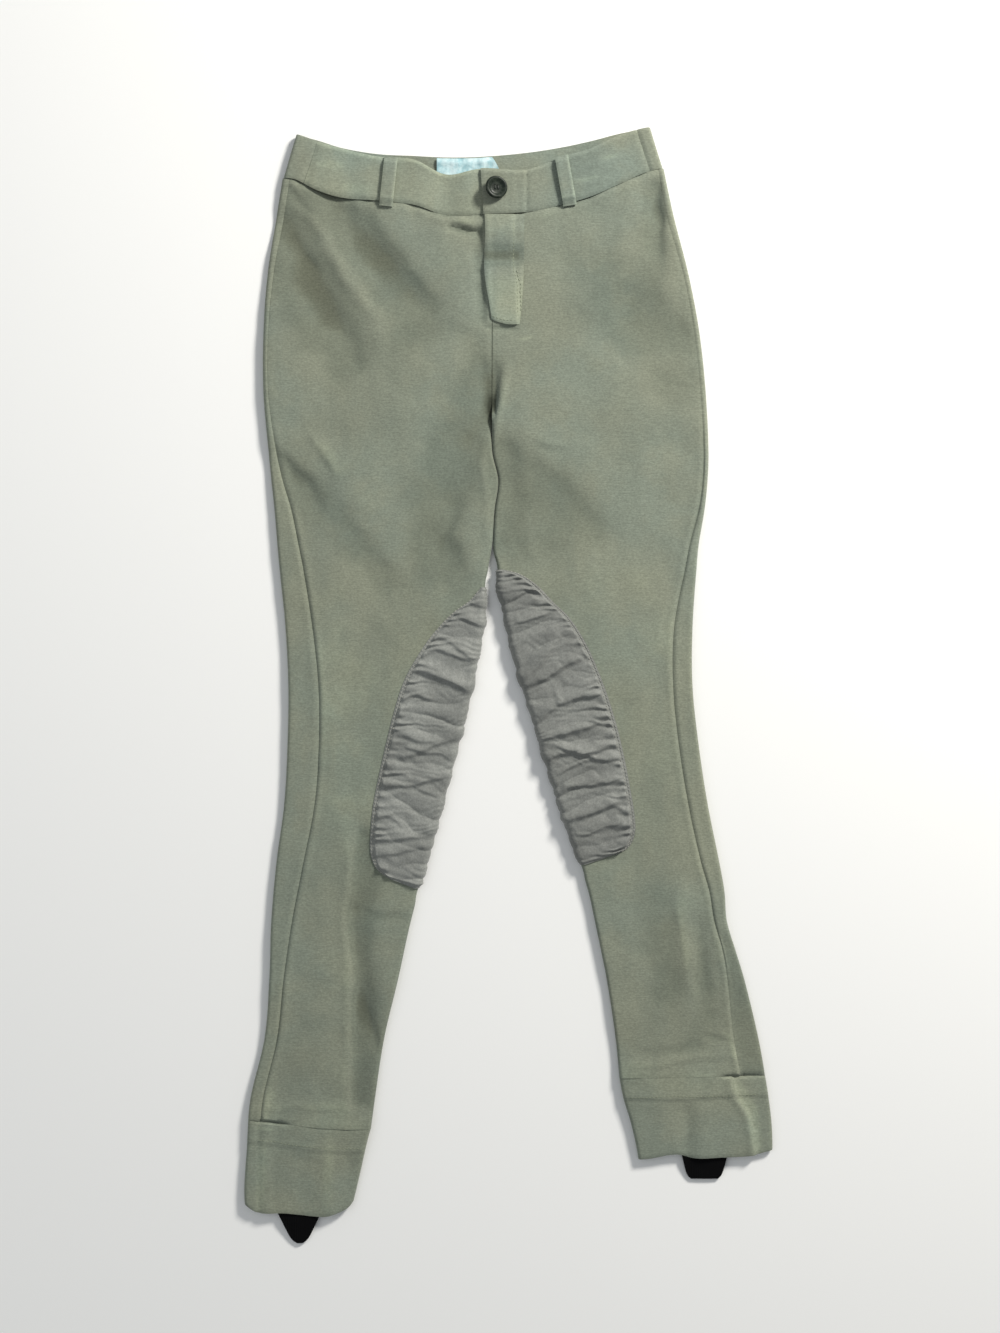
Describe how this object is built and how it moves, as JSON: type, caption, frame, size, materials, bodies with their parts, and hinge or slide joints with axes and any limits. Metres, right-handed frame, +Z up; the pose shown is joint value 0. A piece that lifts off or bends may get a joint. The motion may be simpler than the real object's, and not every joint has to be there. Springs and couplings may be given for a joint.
{
  "type": "jodhpurs",
  "caption": "Riding jodhpurs laid flat on their back, with gathered knee patches, a buttoned waistband with belt loops, turned cuffs and elastic foot straps.",
  "frame": {"origin": "bottom centre of the bounding box, on the surface that the garment lies on", "axes": "+Y from the hems towards the waist, +Z up from the surface through the front, +X across towards the leg on the right of the picture"},
  "size_m": [0.4497, 0.9502, 0.0159],
  "materials": {
    "cloth": "soft matt stretch knit, sage green",
    "patch": "smooth sueded cloth, taupe grey",
    "elastic": "black ribbed elastic",
    "label": "woven satin, pale blue",
    "button": "polished, dark green-black"
  },
  "bodies": {
    "root": {"front_left": "cloth", "front_right": "cloth", "back_left": "cloth", "back_right": "cloth", "waistband_left": "cloth", "waistband_right": "cloth", "waistband_back": "cloth", "fly_placket": "cloth", "belt_loop_left": "cloth", "belt_loop_right": "cloth", "cuff_left": "cloth", "cuff_right": "cloth", "knee_patch_left": "patch", "knee_patch_right": "patch", "foot_strap_left": "elastic", "foot_strap_right": "elastic", "label": "label", "button": "button"}
  },
  "joints": []
}
